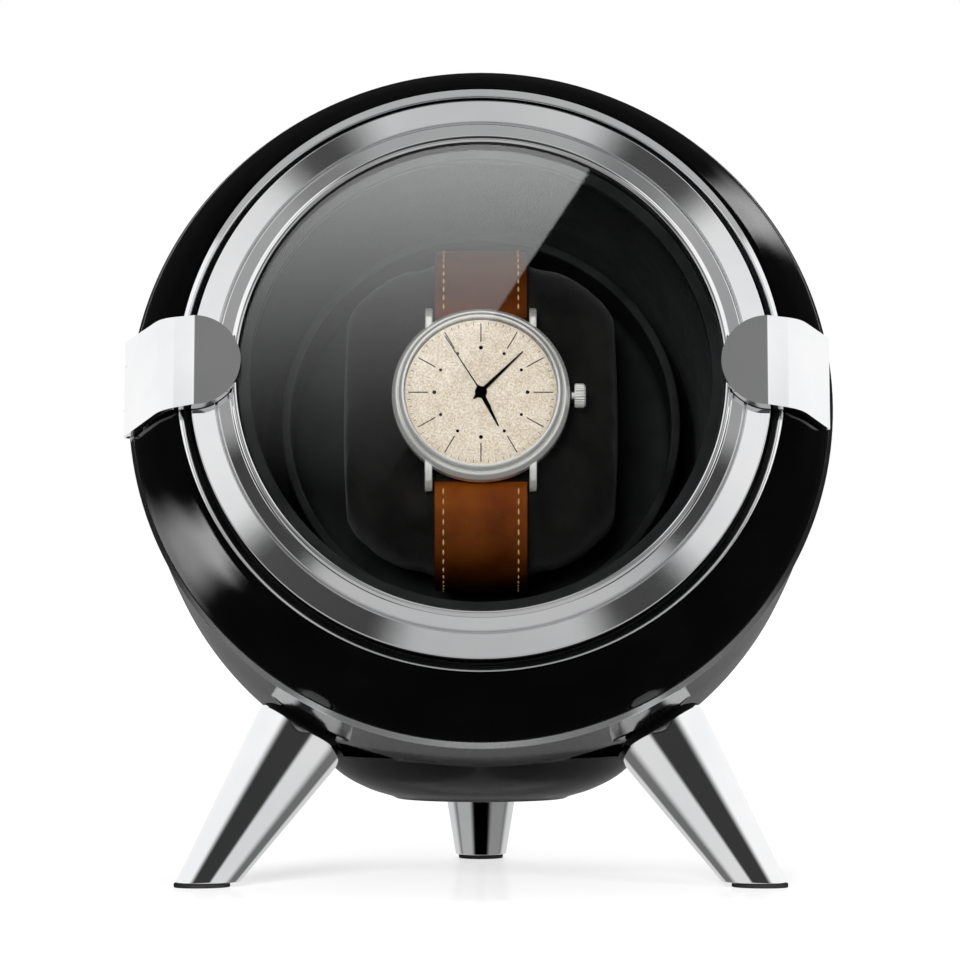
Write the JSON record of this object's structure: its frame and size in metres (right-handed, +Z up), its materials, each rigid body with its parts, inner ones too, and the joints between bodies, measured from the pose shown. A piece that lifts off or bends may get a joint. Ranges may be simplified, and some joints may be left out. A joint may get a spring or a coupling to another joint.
{
  "type": "watch winder",
  "caption": "Ball-shaped watch winder on three tapered legs, with a round hinged window, a turning cup, a cushion and a wristwatch.",
  "frame": {"origin": "on the surface it stands on, under the middle of its bounding box", "axes": "+Z up, the window faces -Y and is tilted up by 16.5 degrees, +X to the right as seen from the front"},
  "size_m": [0.1514, 0.1503, 0.1751],
  "materials": {
    "piano_black": "piano black lacquer, polished",
    "chrome": "bright polished chrome plate",
    "trim_silver": "satin silver",
    "glass": "clear",
    "lining": "black velvet flock",
    "black_plastic": "fine matte moulding",
    "rubber": "matte",
    "steel": "fine turned and polished",
    "bronze": "sintered bronze",
    "gear_plastic": "natural acetal",
    "circuit": "green solder mask",
    "cushion_suede": "black microsuede",
    "strap_leather": "saddle brown with pale stitching",
    "dial_cream": "cream, fine grain",
    "hand_dark": "dark polished"
  },
  "bodies": {
    "housing": {"front_shell": "piano_black", "rear_shell": "piano_black", "hinge_leaf": "chrome", "leg_left": "chrome", "leg_right": "chrome", "leg_rear": "chrome", "trim_ring": "trim_silver", "mouth_ring": "trim_silver", "liner": "lining", "motor_plate": "black_plastic", "bridge_plate": "black_plastic", "rear_panel": "black_plastic", "selector_switch": "black_plastic", "switch_housing": "black_plastic", "dc_jack": "black_plastic", "door_gasket": "rubber", "leg_washer_left": "rubber", "leg_washer_right": "rubber", "leg_washer_rear": "rubber", "foot_pad_left": "rubber", "foot_pad_right": "rubber", "foot_pad_rear": "rubber", "gearhead": "steel", "motor_can": "steel", "hinge_pin": "steel", "hinge_screw_1": "steel", "hinge_screw_2": "steel", "plate_screw_1": "steel", "plate_screw_2": "steel", "plate_screw_3": "steel", "panel_screw_1": "steel", "panel_screw_2": "steel", "panel_screw_3": "steel", "latch_magnet": "steel", "front_bearing": "bronze", "rear_bearing": "bronze", "control_board": "circuit"},
    "door": {"door_ring": "chrome", "door_glass": "glass", "glass_retainer": "black_plastic", "hinge_arm": "chrome", "pull_tab": "chrome"},
    "rotor": {"rotor_cup": "black_plastic", "rotor_shaft": "steel", "rotor_gear": "gear_plastic"},
    "pinion": {"motor_pinion": "gear_plastic"},
    "watch": {"cushion": "cushion_suede", "strap_upper": "strap_leather", "strap_lower": "strap_leather", "buckle": "steel", "watch_case": "steel", "watch_dial": "dial_cream", "watch_crystal": "glass"},
    "hour": {"hour_hand": "hand_dark"},
    "minute": {"minute_hand": "hand_dark"},
    "second": {"second_hand": "hand_dark"},
    "crown": {"crown": "steel"},
    "knob": {"mode_knob": "black_plastic"},
    "rocker": {"power_rocker": "black_plastic"}
  },
  "joints": [
    {"name": "door_hinge", "type": "hinge", "parent": "housing", "child": "door", "pos_m": [-0.0746, -0.03852, 0.10633], "axis": [0, -0.284, -0.9588], "range_deg": [0, 105]},
    {"name": "rotor_spin", "type": "hinge", "parent": "housing", "child": "rotor", "pos_m": [0, -0.0354, 0.1028], "axis": [0, -0.9588, 0.284], "continuous": true},
    {"name": "pinion_spin", "type": "hinge", "parent": "housing", "child": "pinion", "pos_m": [0, -0.02517, 0.13732], "axis": [0, -0.9588, 0.284], "continuous": true},
    {"name": "watch_slide", "type": "slide", "parent": "rotor", "child": "watch", "axis": [0, -0.9588, 0.284], "range_m": [0, 0.005]},
    {"name": "minute_spin", "type": "hinge", "parent": "watch", "child": "minute", "pos_m": [0, -0.0354, 0.1028], "axis": [0, 0.9588, -0.284], "continuous": true},
    {"name": "hour_spin", "type": "hinge", "parent": "watch", "child": "hour", "pos_m": [0, -0.0354, 0.1028], "axis": [0, 0.9588, -0.284], "continuous": true},
    {"name": "second_spin", "type": "hinge", "parent": "watch", "child": "second", "pos_m": [0, -0.0354, 0.1028], "axis": [0, 0.9588, -0.284], "continuous": true},
    {"name": "crown_turn", "type": "hinge", "parent": "watch", "child": "crown", "pos_m": [0.0193, -0.04345, 0.10519], "axis": [1, 0, 0], "continuous": true},
    {"name": "knob_turn", "type": "hinge", "parent": "housing", "child": "knob", "pos_m": [-0.0115, 0.06449, 0.07738], "axis": [0, 0.9588, -0.284], "range_deg": [0, 120]},
    {"name": "rocker_tilt", "type": "hinge", "parent": "housing", "child": "rocker", "pos_m": [0.0105, 0.06421, 0.07642], "axis": [1, 0, 0], "range_deg": [-14, 0]}
  ],
  "couplings": [
    {"joint": "pinion_spin", "follows": "rotor_spin", "ratio": -5},
    {"joint": "hour_spin", "follows": "minute_spin", "ratio": 0.083333},
    {"joint": "second_spin", "follows": "minute_spin", "ratio": 60}
  ]
}
